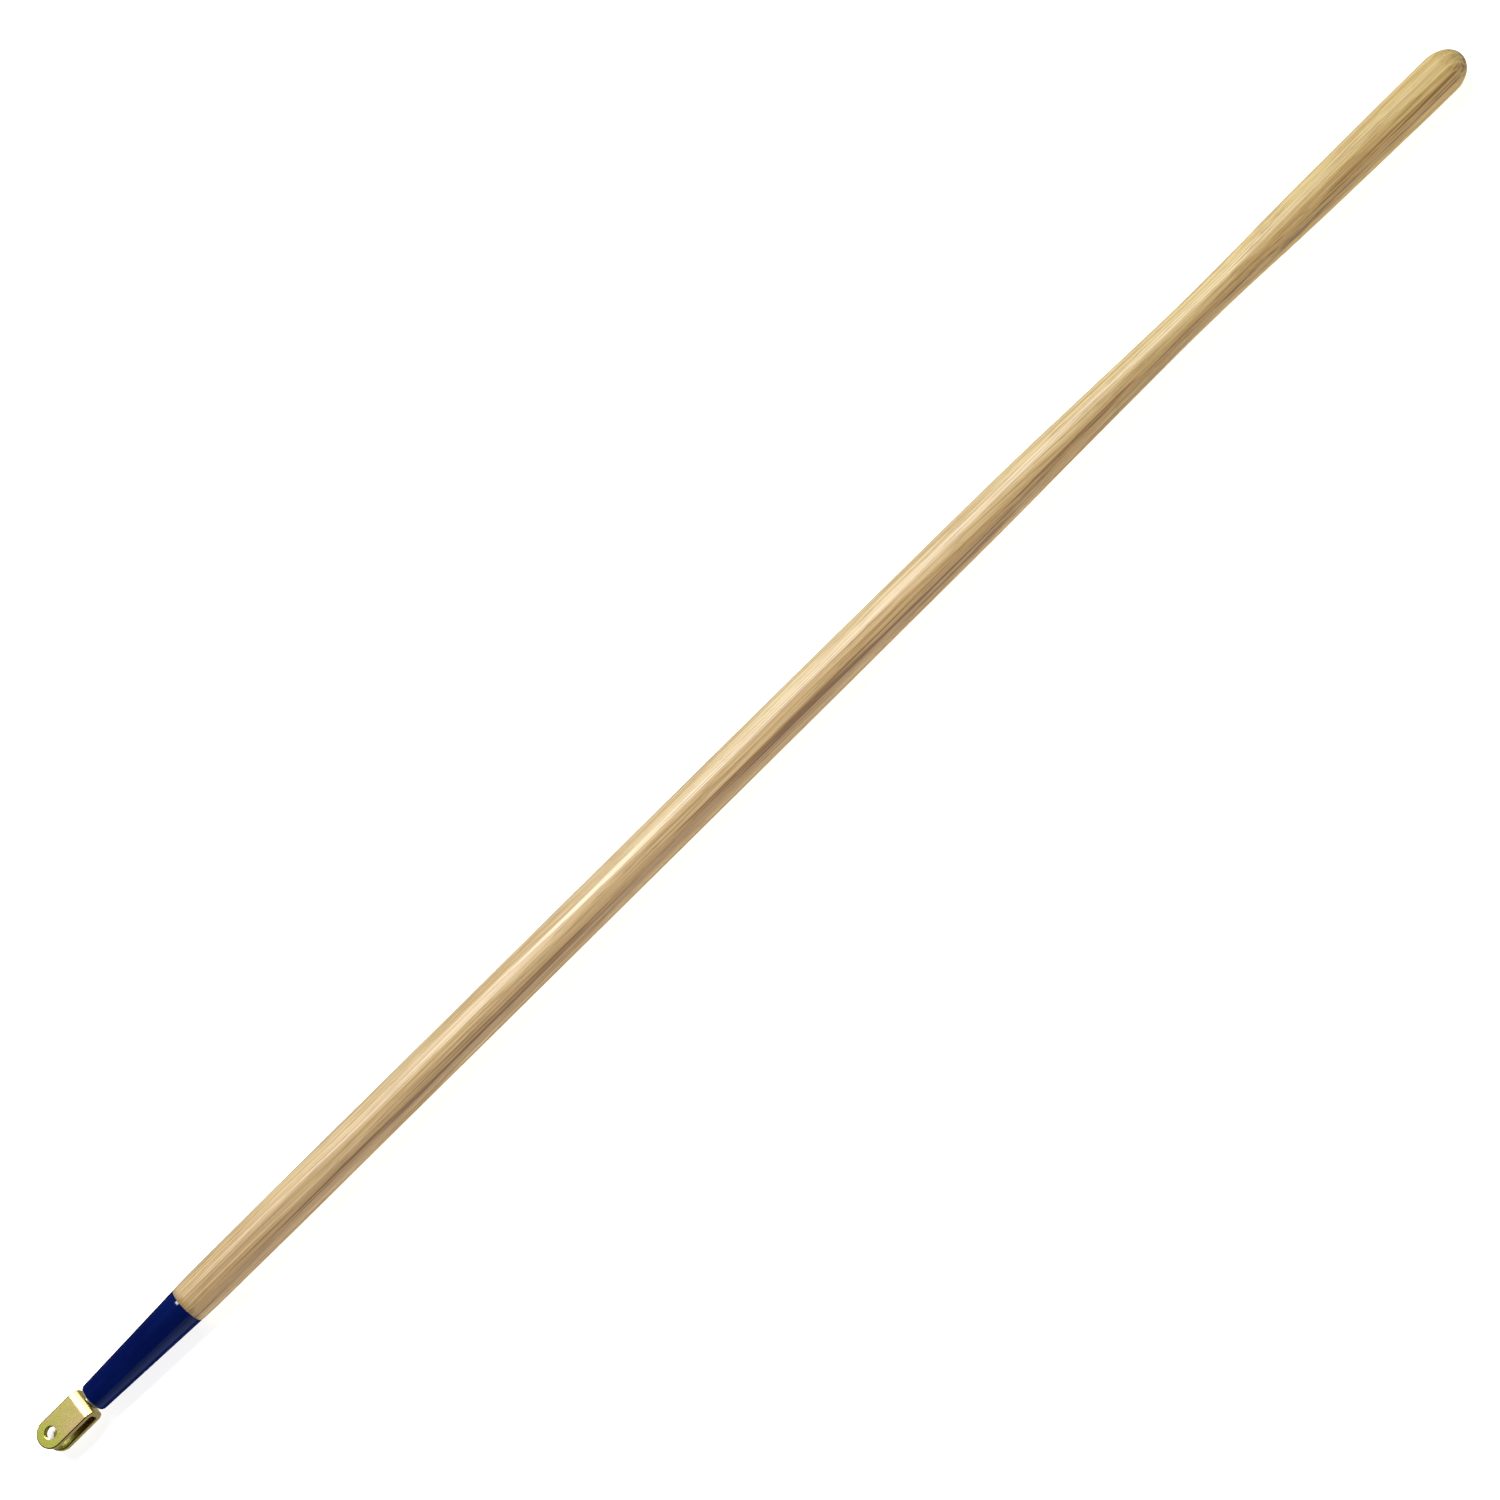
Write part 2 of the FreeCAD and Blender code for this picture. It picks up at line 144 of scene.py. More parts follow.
def lathe(name, outline, place, around=AROUND, closed=False):
    """Turns an outline of (along, radius) about an axis.

    place(along, radius, angle) gives the point in space. An outline that ends on the axis
    closes itself there; a closed one joins its last place to its first.
    """
    shape = bmesh.new()
    rings = []
    for along, radius in outline:
        if radius < 1e-7:
            rings.append([shape.verts.new(place(along, 0.0, 0.0))] * around)
            continue
        rings.append([shape.verts.new(place(along, radius, math.tau * step / around))
                      for step in range(around)])
    pairs = list(zip(rings, rings[1:]))
    if closed:
        pairs.append((rings[-1], rings[0]))
    for first, second in pairs:
        for step in range(around):
            after = (step + 1) % around
            corners = []
            for vert in (first[step], first[after], second[after], second[step]):
                if vert not in corners:
                    corners.append(vert)
            shape.faces.new(corners)
    return new_piece(name, shape)


def along_x(along, radius, angle):
    return (along, radius * math.cos(angle), radius * math.sin(angle))


def along_z(along, radius, angle):
    return (radius * math.cos(angle), radius * math.sin(angle), along)


def rounding(centre, radius, start, end, steps=EDGE_STEPS):
    """Places on an arc about centre, from start to end in degrees."""
    angles = [math.radians(start + (end - start) * step / steps) for step in range(steps + 1)]
    return [(centre[0] + radius * math.cos(angle), centre[1] + radius * math.sin(angle))
            for angle in angles]


def shaft_drift(along):
    """How far the shaft's middle has drifted towards -Y, so far along."""
    return -CROOK_SLOPE * max(along - wood_low.x - CROOK_FROM, 0.0)


def turned_outline(node):
    """The outline (along, radius) of a turned CAD node, from its outer vertices."""
    places = []
    for vert in node.data.vertices:
        radius = math.hypot(vert.co.y - shaft_drift(vert.co.x), vert.co.z)
        if radius > BORE_WALLS:
            places.append((vert.co.x, radius))
    groups = {}
    for along, radius in places:
        groups.setdefault(round(along / RING_GAP), []).append((along, radius))
    outline = []
    for key in sorted(groups):
        members = groups[key]
        outline.append((sum(along for along, _ in members) / len(members),
                        sum(radius for _, radius in members) / len(members) - SKIN))
    return outline


def smooth_turning(outline, step):
    """The same outline at even steps, through a smooth curve between its places."""
    places = [Vector((along, radius)) for along, radius in outline]
    result = []
    along, last = places[0].x, places[-1].x
    segment = 0
    while along < last:
        while segment < len(places) - 2 and places[segment + 1].x <= along:
            segment += 1
        before = places[max(segment - 1, 0)]
        start, end = places[segment], places[segment + 1]
        after = places[min(segment + 2, len(places) - 1)]
        width = end.x - start.x
        share = (along - start.x) / width
        slope_in = (end.y - before.y) / (end.x - before.x) * width
        slope_out = (after.y - start.y) / (after.x - start.x) * width
        radius = ((2 * share ** 3 - 3 * share ** 2 + 1) * start.y
                  + (share ** 3 - 2 * share ** 2 + share) * slope_in
                  + (3 * share ** 2 - 2 * share ** 3) * end.y
                  + (share ** 3 - share ** 2) * slope_out)
        result.append((along, radius))
        along += step
    result.append((last, places[-1].y))
    return result


def make_shaft():
    """The turned wood with its screw bores, its swell, its waist and its domed end."""
    outer = turned_outline(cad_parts["handle_shaft"])
    coat_end = coat_high.x
    tip = [place for place in outer if place[0] < coat_end - MARGIN]
    neck = max(radius for along, radius in outer if along < coat_end + MARGIN / 2)
    dome_start = wood_high.x - DOME_DEPTH
    shaft = [place for place in outer if coat_end + MARGIN < place[0] < dome_start - MARGIN / 2]
    dome_radius = shaft[-1][1]
    start = wood_low.x
    outline = [(start + PILOT_DEPTH, 0.0), (start + PILOT_DEPTH, PILOT_BORE),
               (start + SHANK_BORE_DEPTH, PILOT_BORE), (start + SHANK_BORE_DEPTH, SHANK_BORE),
               (start, SHANK_BORE)]
    outline += [(start, tip[0][1] * TIP_FLAT)]
    outline += [place for place in tip if place[0] > start + MARGIN / 100]
    outline += [(coat_end, tip[-1][1])]
    outline += smooth_turning([(coat_end, neck)] + shaft + [(dome_start, dome_radius)], RING_STEP)
    for step in range(1, DOME_STEPS + 1):
        angle = math.radians(90.0 * step / DOME_STEPS)
        outline.append((dome_start + DOME_DEPTH * math.sin(angle), dome_radius * math.cos(angle)))
    outline[-1] = (wood_high.x, 0.0)

    def place(along, radius, angle):
        return (along, shaft_drift(along) + radius * math.cos(angle), radius * math.sin(angle))

    return lathe("turned_handle", outline, place)


def make_coat():
    """The enamel cup over the tip: a soft bead at its upper edge, whose line wanders a little."""
    start, end = coat_low.x, coat_high.x
    tip, neck = COAT_TIP_RADIUS, coat_high.z
    lean = math.atan((neck - tip) / (end - start))
    centre = (start + COAT_CORNER,
              tip + COAT_CORNER * math.tan(lean) - COAT_CORNER / math.cos(lean))
    outside = rounding(centre, COAT_CORNER, 180.0, 90.0 + math.degrees(lean), CORNER_STEPS)
    first = outside[-1][0]
    for step in range(1, TAPER_STEPS):
        along = first + (end - COAT_BEAD - first) * step / TAPER_STEPS
        outside.append((along, tip + (along - start) * math.tan(lean)))
    inside = [(along + 0.3 * COAT_THICKNESS, radius - COAT_THICKNESS)
              for along, radius in reversed(outside)]
    inside[-1] = (start + COAT_THICKNESS, inside[-1][1])
    bead = rounding((end - COAT_BEAD, neck - COAT_BEAD), COAT_BEAD, 80.0, -20.0, 8)
    outline = [(start, SHANK_BORE)] + outside + bead + [(end - LIP_DEPTH, neck - COAT_THICKNESS)]
    outline += inside + [(start + COAT_THICKNESS, SHANK_BORE)]

    def place(along, radius, angle):
        nearness = max(0.0, (along - end + WANDER_REACH) / WANDER_REACH)
        wander = 0.5 + 0.3 * math.sin(angle * 2 + 0.7) + 0.2 * math.sin(angle * 5 + 2.0)
        along -= EDGE_WANDER * wander * nearness
        return (along, radius * math.cos(angle), radius * math.sin(angle))

    return lathe("enamel_tip", outline, place, closed=True)


def make_washer():
    """The pressed thrust washer, its rims rounded."""
    low, high = washer_low.x + WASHER_EDGE, washer_high.x - WASHER_EDGE
    inner, outer = WASHER_BORE + WASHER_EDGE, washer_high.z - WASHER_EDGE
    outline = []
    for centre, start in (((low, outer), 180.0), ((high, outer), 90.0),
                          ((high, inner), 0.0), ((low, inner), -90.0)):
        outline += rounding(centre, WASHER_EDGE, start, start - 90.0, 5)
    return lathe("pressed_washer", outline, along_x, around=64, closed=True)


def strap_lengths():
    """How long a leg, a bend and the bridge are, along the strap's middle surface."""
    leg = clevis_high.x - BEND_RADIUS - clevis_low.x
    bend = (BEND_RADIUS - STRAP_THICKNESS / 2) * math.pi / 2
    bridge = 2 * (clevis_high.z - BEND_RADIUS)
    return leg, bend, bridge


def strap_place(along, across, height):
    """A point of the bent strap.

    along runs over the strap's middle surface from one leg's tip to the other's, across is
    from side to side and height is outwards from the middle surface.
    """
    outside = clevis_high.x
    middle_z = clevis_high.z - STRAP_THICKNESS / 2
    turn = BEND_RADIUS - STRAP_THICKNESS / 2
    leg, bend, bridge = strap_lengths()
    side = 1.0
    total = 2 * leg + 2 * bend + bridge
    if along > total / 2:
        along = total - along
        side = -1.0
    if along <= leg:
        return (clevis_low.x + along, across, side * (middle_z + height))
    if along <= leg + bend:
        angle = (along - leg) / turn
        reach = turn + height
        return (outside - BEND_RADIUS + reach * math.sin(angle), across,
                side * (middle_z - turn + reach * math.cos(angle)))
    travelled = along - leg - bend
    return (outside - STRAP_THICKNESS / 2 + height, across, side * (middle_z - turn - travelled))


def make_strap():
    """The strap as a bent stadium: round ends, and every edge tumbled smooth."""
    half_width, half_height = clevis_high.y, STRAP_THICKNESS / 2
    leg, bend, bridge = strap_lengths()
    total = 2 * leg + 2 * bend + bridge
    turns = [math.radians(90.0 * step / ROUND_END_STEPS) for step in range(ROUND_END_STEPS)]
    stations = [("start", turn) for turn in turns]
    stations += [("run", step / RUN_STEPS) for step in range(RUN_STEPS + 1)]
    stations += [("end", turn) for turn in reversed(turns)]
    edge = []
    for step in range(EDGE_STEPS + 1):
        angle = math.radians(90.0 - 90.0 * step / EDGE_STEPS)
        edge.append((STRAP_EDGE * (1 - math.cos(angle)),
                     half_height - STRAP_EDGE + STRAP_EDGE * math.sin(angle)))
    edge += [(inset, -height) for inset, height in reversed(edge)]

    def spot(station, inset, height, side):
        kind, value = station
        reach = half_width - inset
        if kind == "run":
            along, across = half_width + (total - 2 * half_width) * value, reach
        else:
            along, across = half_width - reach * math.cos(value), reach * math.sin(value)
            if kind == "end":
                along = total - along
        return strap_place(along, side * across, height)

    shape = bmesh.new()
    loops = []
    for station in stations:
        right = [shape.verts.new(spot(station, inset, height, 1.0)) for inset, height in edge]
        left = [shape.verts.new(spot(station, inset, height, -1.0)) for inset, height in edge]
        loops.append(right + left[::-1])
    for first, second in zip(loops, loops[1:]):
        for step in range(len(first)):
            after = (step + 1) % len(first)
            shape.faces.new((first[step], first[after], second[after], second[step]))
    bmesh.ops.remove_doubles(shape, verts=shape.verts, dist=1e-7)
    return new_piece("bent_strap", shape)


def hole_outline(start, end, radius):
    """Half a cutter for a hole from start to end, which rounds both of its rims over."""
    flare = radius + HOLE_EDGE
    outline = rounding((start + HOLE_EDGE, flare), HOLE_EDGE, 180.0, 270.0, RIM_STEPS)
    outline += rounding((end - HOLE_EDGE, flare), HOLE_EDGE, 270.0, 360.0, RIM_STEPS)
    return outline + [(end + OVERSHOOT, flare), (end + OVERSHOOT, 0.0)]


def make_clevis():
    """The bent strap with its cross bore and screw hole, their rims rounded over."""
    strap = make_strap()
    outer, inner = clevis_high.z, clevis_high.z - STRAP_THICKNESS
    half = [(inner, BORE_RADIUS + HOLE_EDGE)] + hole_outline(inner, outer, BORE_RADIUS)
    bore = [(-along, radius) for along, radius in reversed(half)] + half
    start, end = clevis_high.x - STRAP_THICKNESS, clevis_high.x
    hole = [(start - OVERSHOOT, 0.0), (start - OVERSHOOT, BRIDGE_HOLE_RADIUS + HOLE_EDGE)]
    hole += hole_outline(start, end, BRIDGE_HOLE_RADIUS)
    cutters = [lathe("bore_cutter", bore, along_z, around=96),
               lathe("hole_cutter", hole, along_x, around=96)]
    for cutter in cutters:
        cut = strap.modifiers.new(cutter.name, "BOOLEAN")
        cut.operation = "DIFFERENCE"
        cut.solver = "EXACT"
        cut.object = cutter
    depsgraph = bpy.context.evaluated_depsgraph_get()
    data = bpy.data.meshes.new_from_object(strap.evaluated_get(depsgraph))
    data.name = "bent_clevis"
    clevis = bpy.data.objects.new("bent_clevis", data)
    bpy.context.scene.collection.objects.link(clevis)
    for spent in (strap, *cutters):
        bpy.data.objects.remove(spent)
    data.shade_smooth()
    weigh = clevis.modifiers.new("flat_faces", "WEIGHTED_NORMAL")
    weigh.keep_sharp = True
    weigh.weight = 80
    return clevis


def place_piece(piece, material, body, node):
    """Dresses a new piece and puts it on its body, in its node's stead."""
    dress(piece, material)
    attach(piece, body)
    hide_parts(node)


# ---------------------------------------------------------------- node helpers

class Nodes:
    """A short way to write a material's node tree."""

    def __init__(self, name):
        self.material = bpy.data.materials.new(name)
        self.material.use_nodes = True
        self.tree = self.material.node_tree
        self.shader = self.tree.nodes["Principled BSDF"]

    def add(self, kind, inputs=None, **settings):
        node = self.tree.nodes.new(kind)
        for key, value in settings.items():
            setattr(node, key, value)
        for key, value in (inputs or {}).items():
            self.feed(node.inputs[key], value)
        return node

    def feed(self, socket, value):
        """Links an output to a socket, or sets the socket's own value."""
        if isinstance(value, bpy.types.NodeSocket):
            self.tree.links.new(value, socket)
        else:
            socket.default_value = value

    def stretched(self, scale, shift=(0.0, 0.0, 0.0)):
        """Object coordinates, scaled apart along each axis."""
        place = self.add("ShaderNodeTexCoord").outputs["Object"]
        node = self.add("ShaderNodeMapping", {"Vector": place, "Scale": scale, "Location": shift})
        return node.outputs[0]

    def noise(self, vector, detail=4.0, roughness=0.55):
        node = self.add("ShaderNodeTexNoise", {
            "Vector": vector, "Scale": 1.0, "Detail": detail, "Roughness": roughness,
        })
        return node.outputs["Fac"]

    def ramp(self, value, *stops):
        """A colour ramp through (place, colour) stops."""
        node = self.add("ShaderNodeValToRGB", {"Fac": value})
        points = node.color_ramp.elements
        while len(points) < len(stops):
            points.new(0.5)
        for point, (place, colour) in zip(points, stops):
            point.position = place
            point.color = (*colour, 1.0)
        return node.outputs["Color"]

    def between(self, value, low, high, to_low=0.0, to_high=1.0):
        node = self.add("ShaderNodeMapRange", {
            "Value": value, "From Min": low, "From Max": high, "To Min": to_low, "To Max": to_high,
        })
        return node.outputs["Result"]

    def mix(self, factor, first, second, blend="MIX"):
        node = self.add("ShaderNodeMix", data_type="RGBA", blend_type=blend)
        self.feed(node.inputs[0], factor)
        self.feed(node.inputs[6], first)
        self.feed(node.inputs[7], second)
        return node.outputs[2]

    def math(self, operation, first, second=0.0):
        node = self.add("ShaderNodeMath", operation=operation)
        self.feed(node.inputs[0], first)
        self.feed(node.inputs[1], second)
        return node.outputs[0]

    def weighted(self, *terms):
        """The sum of values, each times its weight."""
        total = 0.0
        for value, weight in terms:
            total = self.math("ADD", total, self.math("MULTIPLY", value, weight))
        return total

    def bump(self, height, distance, strength):
        node = self.add("ShaderNodeBump", {
            "Height": height, "Distance": distance, "Strength": strength,
        })
        self.feed(self.shader.inputs["Normal"], node.outputs[0])

    def set(self, **values):
        """Feeds the shader's own sockets, by their names with _ for each space."""
        for key, value in values.items():
            self.feed(self.shader.inputs[key.replace("_", " ")], value)


def grey(value):
    return (value, value, value, 1.0)


# ---------------------------------------------------------------- materials

GRAIN_DEPTH = (0.92, -0.39)  # across the growth layers, as (Y, Z)
SHADED_FLANK_FACING = (-0.848, 0.530)  # the way the shaded flank faces, as (Y, Z): the lower side in the view, away from the key light, darkened as painted shade
GLINT_PATCH_MIDDLE = (-0.004, 0.005, 0.0)  # middle of the painted highlight patch, beside the bore


def varnished_wood():
    """Pale straight-grained hardwood under clear varnish, with a rosy streaked flank darkened as
    painted shade on the side away from the key light.

    The growth layers follow the crook of the grip, and slope a little along the handle.
    """
    n = Nodes("varnished_wood")
    place = n.add("ShaderNodeTexCoord").outputs["Object"]
    axes = n.add("ShaderNodeSeparateXYZ", {"Vector": place}).outputs
    along, up = axes["X"], axes["Z"]
    bent = n.math("MAXIMUM", n.math("SUBTRACT", along, wood_low.x + CROOK_FROM), 0.0)
    across = n.math("ADD", axes["Y"], n.math("MULTIPLY", bent, CROOK_SLOPE))

    warp = n.noise(n.stretched((3.0, 22.0, 22.0)), detail=2.0)
    depth = n.weighted((across, GRAIN_DEPTH[0]), (up, GRAIN_DEPTH[1]), (along, 0.010), (warp, 0.009))

    def layers(stretch, pitch, **settings):
        spot = n.add("ShaderNodeCombineXYZ", {
            "X": n.math("MULTIPLY", along, stretch), "Y": n.math("MULTIPLY", depth, pitch),
            "Z": n.math("MULTIPLY", up, 60.0),
        })
        return n.noise(spot.outputs[0], **settings)

    broad = layers(1.4, 260.0, detail=2.0)
    rings = layers(3.2, 820.0, detail=4.0, roughness=0.62)
    fibres = n.noise(n.stretched((9.0, 720.0, 720.0)), detail=5.0, roughness=0.72)
    lines = n.noise(n.stretched((4.5, 560.0, 560.0), (3.0, 0.0, 0.0)), detail=3.0, roughness=0.6)
    pores = n.noise(n.stretched((48.0, 1700.0, 1700.0)), detail=2.0)

    base = n.ramp(broad, (0.32, (0.54, 0.365, 0.160)), (0.68, (0.70, 0.525, 0.280)))
    sapwood = n.mix(n.between(depth, 0.002, 0.013, 0.0, 0.85), base, (0.60, 0.500, 0.305, 1.0))
    ringed = n.mix(n.between(rings, 0.48, 0.66, 0.0, 0.72), sapwood, (0.37, 0.220, 0.085, 1.0))
    paled = n.mix(n.between(rings, 0.46, 0.32, 0.0, 0.50), ringed, (0.80, 0.670, 0.430, 1.0))
    fibred = n.mix(n.between(fibres, 0.50, 0.61, 0.0, 0.80), paled, (0.35, 0.210, 0.080, 1.0))
    radius = n.math("SQRT", n.weighted((across, across), (up, up)))
    # Painted shade: on the side facing the shaded flank direction the wood turns rosier, darker and
    # streaked. The streaks are partly the wood's own figure, and the darkening stands for shade.
    towards = n.weighted((across, SHADED_FLANK_FACING[0]), (up, SHADED_FLANK_FACING[1]))
    facing = n.math("ADD", n.math("DIVIDE", towards, radius), n.math("MULTIPLY", warp, 0.10))
    shaded_flank = n.between(facing, 0.945, 1.015)
    rosy_and_shade = n.mix(n.math("MULTIPLY", shaded_flank, n.between(broad, 0.35, 0.62, 0.40, 0.90)),
                 fibred, (0.53, 0.345, 0.170, 1.0))
    streaks_and_shade = n.math("MULTIPLY", shaded_flank, n.between(lines, 0.50, 0.58, 0.0, 0.80))
    streaked_and_shaded = n.mix(streaks_and_shade, rosy_and_shade, (0.22, 0.110, 0.048, 1.0))
    pored = n.mix(n.between(pores, 0.60, 0.74, 0.0, 0.60), streaked_and_shaded, (0.19, 0.10, 0.04, 1.0))
    # A little darker towards the clevis end, paler and yellower towards the grip.
    lengthwise_tint = n.ramp(n.between(along, 0.13, 1.40),
                  (0.0, (0.93, 0.92, 0.90)), (0.25, (0.97, 0.96, 0.94)), (0.55, (1.0, 0.99, 0.95)),
                  (0.80, (1.0, 0.97, 0.80)), (1.0, (1.0, 0.96, 0.68)))
    n.set(Base_Color=n.mix(1.0, pored, lengthwise_tint, "MULTIPLY"))
    n.set(Roughness=n.between(rings, 0.3, 0.7, 0.38, 0.52))
    n.set(Coat_Weight=0.17, Coat_Roughness=0.26, Coat_IOR=1.5)
    n.bump(n.math("ADD", rings, n.math("MULTIPLY", pores, 0.6)), 0.00010, 0.6)
    return n.material


def dipped_enamel():
    """Dark blue gloss enamel, slightly uneven where it ran."""
    n = Nodes("dipped_enamel")
    drift = n.noise(n.stretched((14.0, 60.0, 60.0)), detail=3.0)
    peel = n.noise(n.stretched((420.0, 420.0, 420.0)), detail=2.0)
    n.set(Base_Color=n.ramp(drift, (0.3, (0.0002, 0.0032, 0.055)), (0.7, (0.0008, 0.0085, 0.095))))
    n.set(Roughness=n.between(peel, 0.3, 0.7, 0.08, 0.14), Specular_IOR_Level=0.45)
    n.bump(peel, 0.00004, 0.30)
    return n.material


def yellow_zinc():
    """Yellow chromate over zinc: olive gold, rosier towards the bend, with tumbling marks.

    Inside the fork, beside the bore, a painted highlight: the inner faces turn to near-white bright
    metal on a small patch.
    """
    n = Nodes("yellow_zinc")
    place = n.add("ShaderNodeTexCoord").outputs["Object"]
    axes = n.add("ShaderNodeSeparateXYZ", {"Vector": place}).outputs
    drift = n.noise(n.stretched((60.0, 60.0, 60.0)), detail=2.0)
    rosier = n.between(axes["X"], 0.0, 0.012, -0.14, 0.06)
    tint = n.ramp(n.math("ADD", drift, rosier), (0.34, (0.33, 0.33, 0.060)),
                  (0.50, (0.36, 0.315, 0.095)), (0.66, (0.40, 0.305, 0.130)))
    marks = n.noise(n.stretched((480.0, 900.0, 480.0)), detail=4.0)
    dulled = n.mix(n.between(marks, 0.45, 0.75, 0.0, 0.07), tint, (0.24, 0.19, 0.055, 1.0))
    height = n.math("ABSOLUTE", axes["Z"])
    from_glint = n.add("ShaderNodeVectorMath", {
        0: n.add("ShaderNodeCombineXYZ", {"X": axes["X"], "Y": axes["Y"]}).outputs[0],
        1: GLINT_PATCH_MIDDLE,
    }, operation="DISTANCE").outputs["Value"]
    # Painted highlight: a near-white patch on the inner faces beside the bore, standing for the
    # white seen there through the bore.
    inner_face = n.between(height, 0.00505, 0.00490)
    glint_patch = n.math("MULTIPLY", inner_face, n.between(from_glint, 0.0090, 0.0070))
    painted_glint = n.math("MULTIPLY", glint_patch, n.between(marks, 0.25, 0.50, 0.85, 1.0))
    n.set(Base_Color=n.mix(painted_glint, dulled, (0.93, 0.92, 0.88, 1.0)), Metallic=1.0)
    n.set(Roughness=n.between(marks, 0.3, 0.7, 0.25, 0.28))
    n.set(Coat_Weight=0.12, Coat_Roughness=0.15)
    n.bump(marks, 0.00001, 0.08)
    return n.material


def bright_zinc(name, colour):
    """Plated steel of one colour, with fine tumbling marks."""
    n = Nodes(name)
    marks = n.noise(n.stretched((700.0, 700.0, 700.0)), detail=4.0)
    low = tuple(0.8 * part for part in colour)
    n.set(Base_Color=n.ramp(marks, (0.35, low), (0.65, colour)), Metallic=1.0)
    n.set(Roughness=n.between(marks, 0.3, 0.7, 0.22, 0.36))
    n.bump(marks, 0.00002, 0.4)
    return n.material


def pale_floor():
    n = Nodes("pale_floor")
    cloud = n.noise(n.stretched((3.0, 3.0, 3.0)), detail=2.0)
    pale = n.ramp(cloud, (0.3, (0.86, 0.86, 0.86)), (0.7, (0.88, 0.88, 0.88)))
    n.set(Base_Color=pale, Roughness=0.9)
    return n.material


def pale_wall():
    n = Nodes("pale_wall")
    n.set(Base_Color=grey(0.0), Roughness=1.0, Emission_Color=grey(0.94), Emission_Strength=1.0)
    return n.material


def dress(piece, material):
    piece.data.materials.clear()
    piece.data.materials.append(material)


# ---------------------------------------------------------------- stage

def view_axes():
    """The camera's right, up and back directions in the row frame."""
    back = Vector((0.0, -math.sin(VIEW_LEAN), math.cos(VIEW_LEAN)))
    along = Vector((1.0, 0.0, 0.0))
    across = back.cross(along)
    right = math.cos(VIEW_TURN) * along - math.sin(VIEW_TURN) * across
    up = math.sin(VIEW_TURN) * along + math.cos(VIEW_TURN) * across
    return right, up, back


def make_camera(middle):
    right, up, back = view_axes()
    data = bpy.data.cameras.new("camera")
    data.sensor_width = SENSOR_WIDTH * 1000
    data.lens = SENSOR_WIDTH * 1000 * VIEW_DISTANCE / VIEW_WIDTH
    camera = bpy.data.objects.new("camera", data)
    turn = Matrix((right, up, back)).transposed().to_4x4()
    camera.matrix_world = Matrix.Translation(middle + back * VIEW_DISTANCE) @ turn
    bpy.context.scene.collection.objects.link(camera)
    bpy.context.scene.camera = camera


def stage_sheet(name, corners, faces, material):
    """A plain sheet of the studio, which the object's gloss doesn't mirror."""
    data = bpy.data.meshes.new(name)
    data.from_pydata(corners, [], faces)
    sheet = bpy.data.objects.new(name, data)
    bpy.context.scene.collection.objects.link(sheet)
    dress(sheet, material)
    sheet.visible_glossy = False
    return sheet


def make_floor(height):
    half = FLOOR_SIZE / 2
    corners = [(-half, -half, height), (half, -half, height),
               (half, half, height), (-half, half, height)]
    return stage_sheet("floor", corners, [(0, 1, 2, 3)], pale_floor())


def make_wall(height):
    """A pale round wall behind the floor, for the low views."""
    corners = []
    for side in range(WALL_SIDES):
        angle = math.tau * side / WALL_SIDES
        x, y = WALL_RADIUS * math.cos(angle), WALL_RADIUS * math.sin(angle)
        corners += [(x, y, height), (x, y, height + WALL_HEIGHT)]
    count = len(corners)
    faces = [(foot, foot + 1, (foot + 3) % count, (foot + 2) % count)
             for foot in range(0, count, 2)]
    wall = stage_sheet("wall", corners, faces, pale_wall())
    wall.visible_diffuse = False
    wall.visible_shadow = False


def area_light(name, centre, away, distance, size, power, tint):
    """A rectangular light that faces centre, its size given along the handle and across it."""
    data = bpy.data.lights.new(name, "AREA")
    data.shape = "RECTANGLE"
    data.size, data.size_y = size
    data.energy = power
    data.color = tint
    light = bpy.data.objects.new(name, data)
    across = away.cross(Vector((1.0, 0.0, 0.0))).normalized()
    turn = Matrix((across.cross(away), across, away)).transposed().to_4x4()
    light.matrix_world = Matrix.Translation(centre + away * distance) @ turn
    bpy.context.scene.collection.objects.link(light)
    return light


def softbox(name, centre, lean, distance, size, power, tint):
    """A long soft light over the handle, lean degrees from straight up towards +Y."""
    angle = math.radians(lean)
    away = Vector((0.0, math.sin(angle), math.cos(angle)))
    area_light(name, centre, away, distance, size, power, tint)


def light_only(light, name, pieces):
    """Keeps a light to some pieces, as a flag held beside them would."""
    only = bpy.data.collections.new(name)
    for piece in pieces:
        only.objects.link(piece)
    light.light_linking.receiver_collection = only
    light.light_linking.blocker_collection = only


def floor_wash(floor, strength):
    """A wash of light for the floor alone, so that it stays pale under the handle."""
    data = bpy.data.lights.new("floor_wash", "SUN")
    data.energy = strength
    light = bpy.data.objects.new("floor_wash", data)
    bpy.context.scene.collection.objects.link(light)
    light_only(light, "floor_only", [floor])


def card(name, pieces, centre, direction, distance, size, radiance, tint):
    """A pale card held for some pieces alone, as bright as radiance says."""
    away = Vector(direction).normalized()
    power = radiance * math.pi * size[0] * size[1]
    light = area_light(name, centre, away, distance, size, power, tint)
    light.visible_camera = False
    light_only(light, name, pieces)


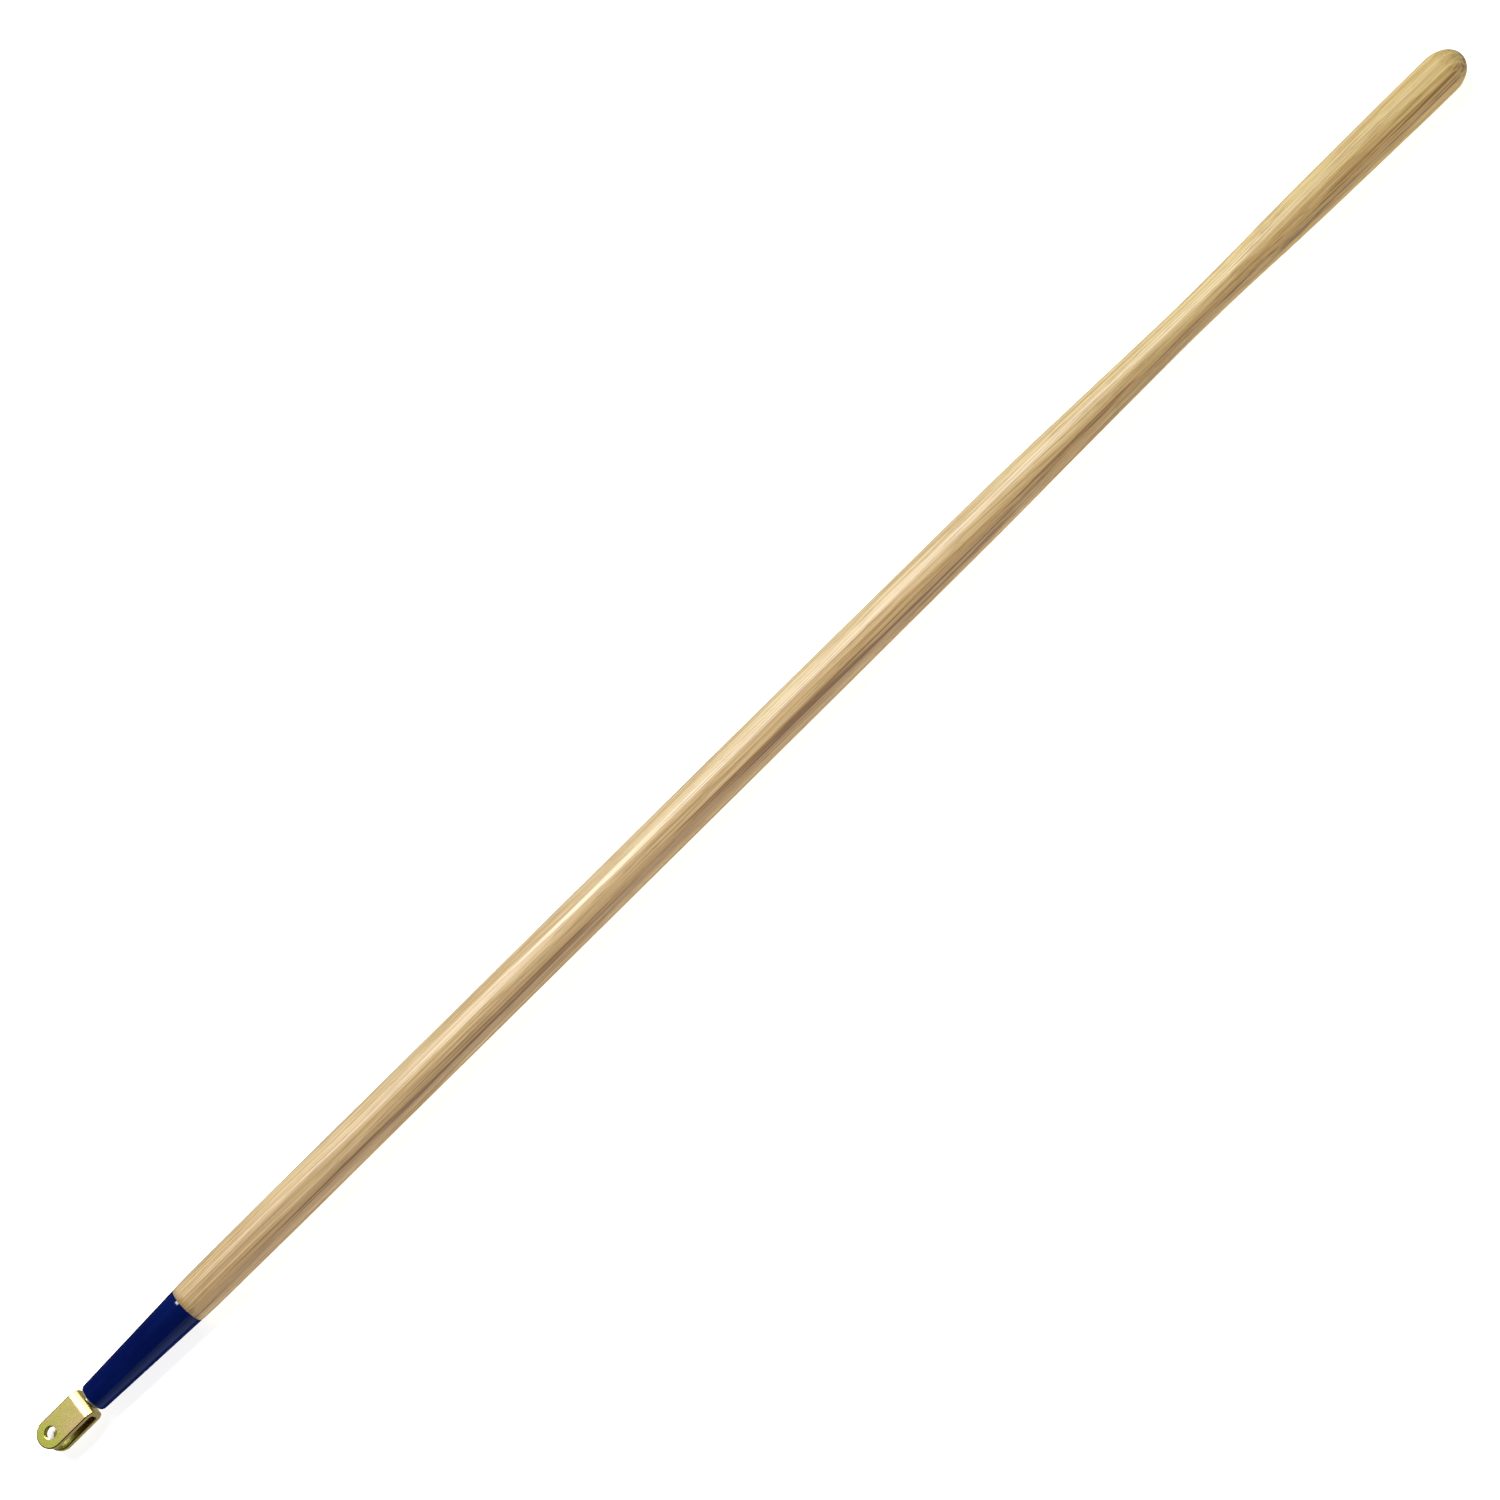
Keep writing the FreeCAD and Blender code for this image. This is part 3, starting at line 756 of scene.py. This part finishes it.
def make_world(strength):
    world = bpy.data.worlds.new("studio")
    bpy.context.scene.world = world
    world.use_nodes = True
    background = world.node_tree.nodes["Background"]
    background.inputs["Color"].default_value = grey(1.0)
    background.inputs["Strength"].default_value = strength


# ---------------------------------------------------------------- the scene

WHITE = (1.0, 1.0, 1.0)
DOWN = (0.0, 0.0, -1.0)

low, high = cad_box
middle = Vector(((low.x + high.x) / 2 - 0.0015, 0.0, 0.0))
make_camera(middle)
floor = make_floor(wood_low.z)
make_wall(wood_low.z)
floor_wash(floor, 3.2)
softbox("key_strip", middle, 27.0, 3.0, (2.0, 1.1), 122.0, WHITE)
softbox("side_card", middle, -80.0, 3.0, (4.0, 0.9), 3.0, (0.85, 0.93, 1.0))
make_world(0.03)
bpy.context.scene.view_settings.view_transform = "Standard"

shaft, coat = make_shaft(), make_coat()
washer, clevis, screw = make_washer(), make_clevis(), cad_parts["swivel_screw"]
place_piece(shaft, varnished_wood(), "handle", "handle_shaft")
place_piece(coat, dipped_enamel(), "handle", "tip_coating")
place_piece(washer, bright_zinc("bright_zinc", (0.72, 0.71, 0.66)), "handle",
            "thrust_washer")
place_piece(clevis, yellow_zinc(), "clevis", "clevis")
dress(screw, bright_zinc("screw_zinc", (0.60, 0.54, 0.30)))

metal = [washer, clevis, screw]
bore = Vector((0.0, 0.0, 0.0))
nearer = middle + Vector((0.0, -0.33, 0.0))
cards = [
    ("sky_card", metal, bore, (-0.30, 0.39, 0.87), 2.0, (1.3, 1.3), 0.76, WHITE),
    ("end_card", metal, bore, (0.78, 0.39, 0.49), 2.5, (2.4, 2.4), 5.0, WHITE),
    ("table_card", metal, bore, DOWN, 0.03, (1.6, 1.6), 0.60, (1.0, 0.92, 0.70)),
    ("near_card", [shaft], nearer, DOWN, 0.014, (3.0, 0.6), 0.44, (1.0, 0.90, 0.76)),
    ("cool_card", [coat], nearer, DOWN, 0.014, (3.0, 0.6), 0.42, (0.70, 0.90, 1.0)),
    ("front_card", [shaft], middle, (0.0, -0.42, 0.91), 2.6, (3.0, 2.4), 0.66, WHITE),
]
for each in cards:
    card(*each)
